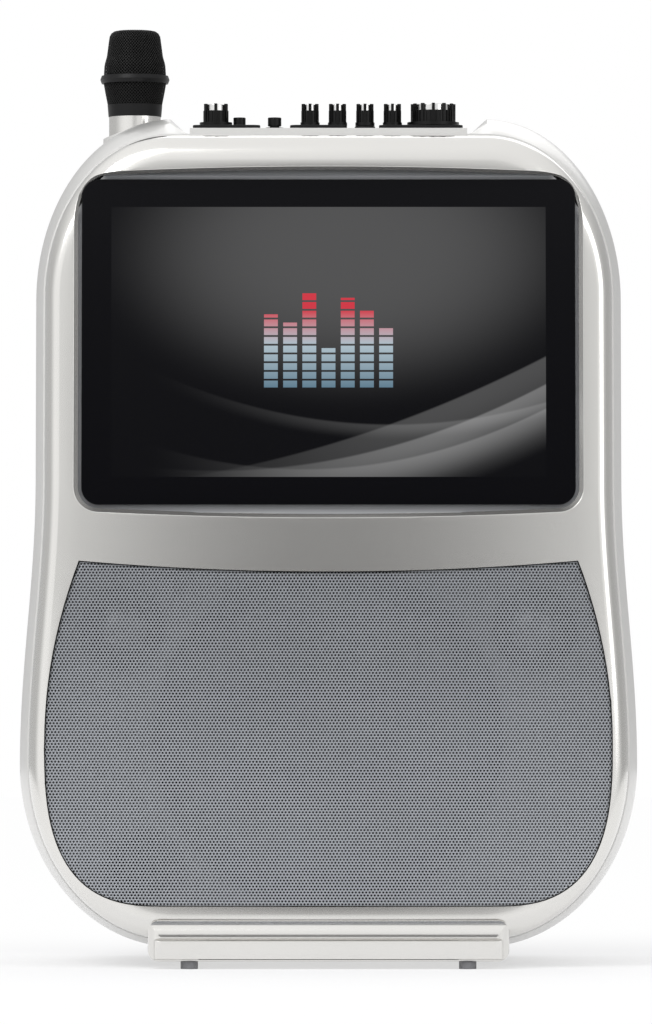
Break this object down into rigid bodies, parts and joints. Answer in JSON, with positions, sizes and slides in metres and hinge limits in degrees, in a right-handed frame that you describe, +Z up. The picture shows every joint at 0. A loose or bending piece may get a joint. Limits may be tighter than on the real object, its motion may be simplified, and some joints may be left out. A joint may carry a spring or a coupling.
{
  "type": "karaoke machine with disc tray",
  "caption": "Table-top karaoke machine: bowed silver housing with screen, speaker grille, deck of knobs, wireless microphone in its holder and a slim disc tray in the foot bar.",
  "frame": {"origin": "middle of the bounding box at floor level, under the machine", "axes": "+Z up, -Y towards the viewer (screen side), +X to the right in the front view"},
  "size_m": [0.311, 0.22, 0.475],
  "materials": {
    "silver_shell": "glossy metallic paint",
    "silver_stand": "glossy metallic paint",
    "dark_cover": "fine texture",
    "black_plastic": "satin",
    "knob_black": "satin, fluted",
    "bright_cap": "spun",
    "rubber": "matt",
    "grille_steel": "perforated, grey paint",
    "black_board": "black painted board",
    "black_steel": "black",
    "ferrite": "bare ferrite",
    "paper_cone": "pressed paper",
    "dome_foil": "foil",
    "cover_glass": "gloss, black border",
    "display": "dark panel",
    "zinc_steel": "zinc plated",
    "bright_steel": "ground rod",
    "circuit_board": "solder mask",
    "white_plastic": "acetal",
    "tray_plastic": "fine texture",
    "lens_glass": "clear lens",
    "mic_silver": "silver paint",
    "mic_mesh": "black woven wire"
  },
  "bodies": {
    "machine": {"front_bezel": "silver_shell", "rear_shell": "silver_shell", "rear_cover": "dark_cover", "control_deck": "silver_shell", "control_pads": "black_plastic", "base_stand": "silver_stand", "rubber_feet": "rubber", "speaker_grille": "grille_steel", "baffle": "black_board", "woofer_basket": "black_steel", "woofer_magnet": "ferrite", "woofer_cone": "paper_cone", "woofer_surround": "rubber", "dust_cap": "paper_cone", "tweeters": "black_plastic", "tweeter_domes": "dome_foil", "bass_port": "black_plastic", "screen_glass": "cover_glass", "display_panel": "display", "display_bracket": "zinc_steel", "main_board": "circuit_board", "power_supply": "circuit_board", "control_board": "circuit_board", "potentiometers": "zinc_steel", "mic_holder": "black_plastic", "rear_jacks": "black_plastic", "power_inlet": "black_plastic", "case_screws": "black_steel", "speaker_screws": "black_steel", "drive_housing": "zinc_steel", "tray_rails": "white_plastic"},
    "tray": {"tray_front": "silver_stand", "disc_tray": "tray_plastic", "tray_plate": "zinc_steel", "spindle_motor": "zinc_steel", "guide_rods": "bright_steel"},
    "turntable": {"turntable": "black_plastic"},
    "sled": {"pickup_sled": "tray_plastic", "pickup_lens": "lens_glass"},
    "gear": {"sled_gear": "white_plastic"},
    "mic_volume": {"mic_volume_knob": "knob_black", "mic_volume_cap": "bright_cap"},
    "echo": {"echo_knob": "knob_black", "echo_cap": "bright_cap"},
    "delay": {"delay_knob": "knob_black", "delay_cap": "bright_cap"},
    "treble": {"treble_knob": "knob_black", "treble_cap": "bright_cap"},
    "bass": {"bass_knob": "knob_black", "bass_cap": "bright_cap"},
    "main_volume": {"main_volume_knob": "knob_black", "main_volume_cap": "bright_cap"},
    "play": {"play_button": "black_plastic"},
    "eject": {"eject_button": "black_plastic"},
    "rocker": {"power_switch": "black_plastic"},
    "mic": {"mic_handle": "mic_silver", "mic_grille": "mic_mesh", "mic_rings": "black_steel"},
    "mic_slider": {"mic_switch": "black_plastic"}
  },
  "joints": [
    {"name": "tray_slide", "type": "slide", "parent": "machine", "child": "tray", "axis": [0, -1, 0], "range_m": [0, 0.126]},
    {"name": "turntable_spin", "type": "hinge", "parent": "tray", "child": "turntable", "pos_m": [0, -0.042, 0.0092], "axis": [0, 0, 1], "continuous": true},
    {"name": "sled_slide", "type": "slide", "parent": "tray", "child": "sled", "axis": [0, 1, 0], "range_m": [0, 0.032]},
    {"name": "gear_spin", "type": "hinge", "parent": "tray", "child": "gear", "pos_m": [0.0234, 0.0014, 0.0072], "axis": [0, 0, 1], "range_deg": [-437, 0]},
    {"name": "mic_volume_turn", "type": "hinge", "parent": "machine", "child": "mic_volume", "pos_m": [-0.0568, -0.02421, 0.4223], "axis": [0, 0, 1], "range_deg": [-150, 150]},
    {"name": "echo_turn", "type": "hinge", "parent": "machine", "child": "echo", "pos_m": [-0.0093, -0.02421, 0.4223], "axis": [0, 0, 1], "range_deg": [-150, 150]},
    {"name": "delay_turn", "type": "hinge", "parent": "machine", "child": "delay", "pos_m": [0.00455, -0.02421, 0.4223], "axis": [0, 0, 1], "range_deg": [-150, 150]},
    {"name": "treble_turn", "type": "hinge", "parent": "machine", "child": "treble", "pos_m": [0.0184, -0.02421, 0.4223], "axis": [0, 0, 1], "range_deg": [-150, 150]},
    {"name": "bass_turn", "type": "hinge", "parent": "machine", "child": "bass", "pos_m": [0.03225, -0.02421, 0.4223], "axis": [0, 0, 1], "range_deg": [-150, 150]},
    {"name": "main_volume_turn", "type": "hinge", "parent": "machine", "child": "main_volume", "pos_m": [0.0528, -0.02421, 0.4223], "axis": [0, 0, 1], "range_deg": [-150, 150]},
    {"name": "play_press", "type": "slide", "parent": "machine", "child": "play", "axis": [0, 0, -1], "range_m": [0, 0.0012], "stiffness_N_per_m": 300, "springref_m": -0.0005},
    {"name": "eject_press", "type": "slide", "parent": "machine", "child": "eject", "axis": [0, 0, -1], "range_m": [0, 0.0012], "stiffness_N_per_m": 300, "springref_m": -0.0005},
    {"name": "power_rock", "type": "hinge", "parent": "machine", "child": "rocker", "pos_m": [0.024, 0.1065, 0.08], "axis": [1, 0, 0], "range_deg": [0, 16]},
    {"name": "mic_lift", "type": "slide", "parent": "machine", "child": "mic", "axis": [0, 0, 1], "range_m": [0, 0.2]},
    {"name": "mic_switch_slide", "type": "slide", "parent": "mic", "child": "mic_slider", "axis": [0, 0, 1], "range_m": [0, 0.006]}
  ],
  "couplings": [
    {"joint": "gear_spin", "follows": "sled_slide", "rad_per_m": -238.1}
  ]
}
